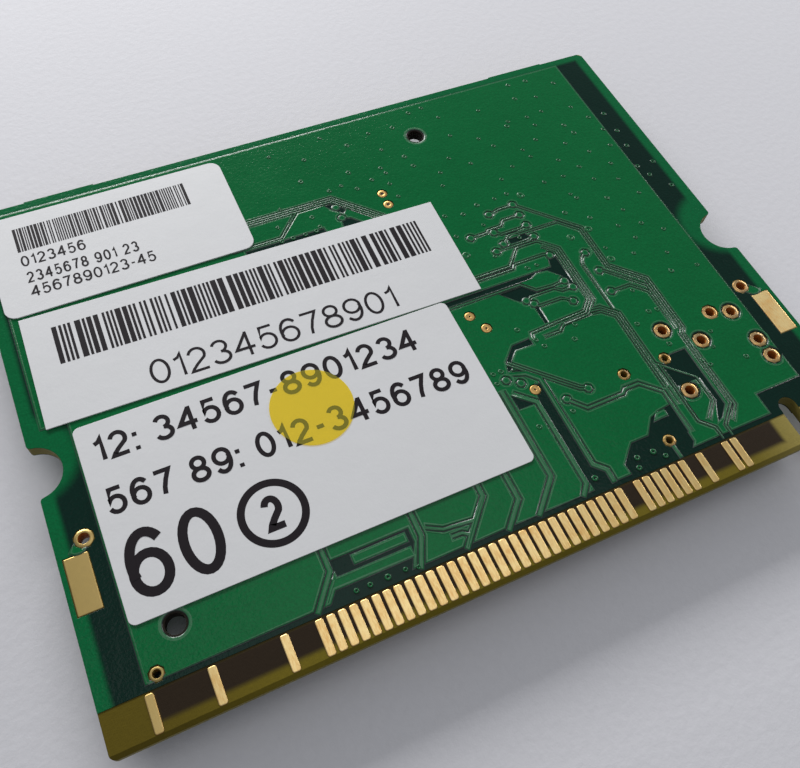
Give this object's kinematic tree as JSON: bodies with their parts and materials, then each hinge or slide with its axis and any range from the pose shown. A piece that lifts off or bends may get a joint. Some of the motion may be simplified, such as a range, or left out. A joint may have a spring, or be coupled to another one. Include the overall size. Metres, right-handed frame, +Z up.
{
  "type": "laptop wifi card",
  "caption": "Laptop wifi card: green circuit board with gold edge contacts, labels on the solder side and a shielded radio below.",
  "frame": {"origin": "bottom centre of the bounding box, on the surface that the shield lid rests on", "axes": "+X along the contact edge, +Y from the contact edge to the far edge, +Z up out of the solder side that carries the labels"},
  "size_m": [0.0596, 0.0444, 0.0035],
  "materials": {
    "laminate": "satin",
    "coating": "gloss",
    "gold": "satin",
    "paper": "matte",
    "yellow_film": "matte",
    "tin_plate": "satin",
    "black_resin": "matte",
    "solder": "satin",
    "tan_ceramic": "satin",
    "pale_ceramic": "satin",
    "tantalum_resin": "satin",
    "ivory_plastic": "satin"
  },
  "bodies": {
    "root": {"circuit_board": "laminate", "back_circuit_layer": "coating", "front_circuit_layer": "coating", "plated_holes": "gold", "test_dots": "gold", "back_edge_contacts": "gold", "front_edge_contacts": "gold", "back_latch_pads": "gold", "front_latch_pads": "gold", "part_label": "paper", "serial_label": "paper", "approval_label": "paper", "round_sticker": "yellow_film", "shield_frame": "tin_plate", "shield_lid": "tin_plate", "processor_chip": "black_resin", "radio_chip": "black_resin", "power_amplifier": "black_resin", "antenna_switch": "black_resin", "band_filter": "pale_ceramic", "crystal_base": "pale_ceramic", "crystal_can": "tin_plate", "memory_chip_body": "black_resin", "memory_chip_leads": "solder", "regulator_body": "black_resin", "regulator_leads": "solder", "tantalum_capacitor_bodies": "tantalum_resin", "tantalum_capacitor_ends": "solder", "ceramic_capacitor_bodies": "tan_ceramic", "ceramic_capacitor_ends": "solder", "resistor_bodies": "black_resin", "resistor_ends": "solder", "resistor_array_bodies": "black_resin", "resistor_array_ends": "solder", "ferrite_bead_bodies": "black_resin", "ferrite_bead_ends": "solder", "antenna_socket_bases": "ivory_plastic", "antenna_socket_shells": "gold", "antenna_socket_pins": "gold"}
  },
  "joints": []
}
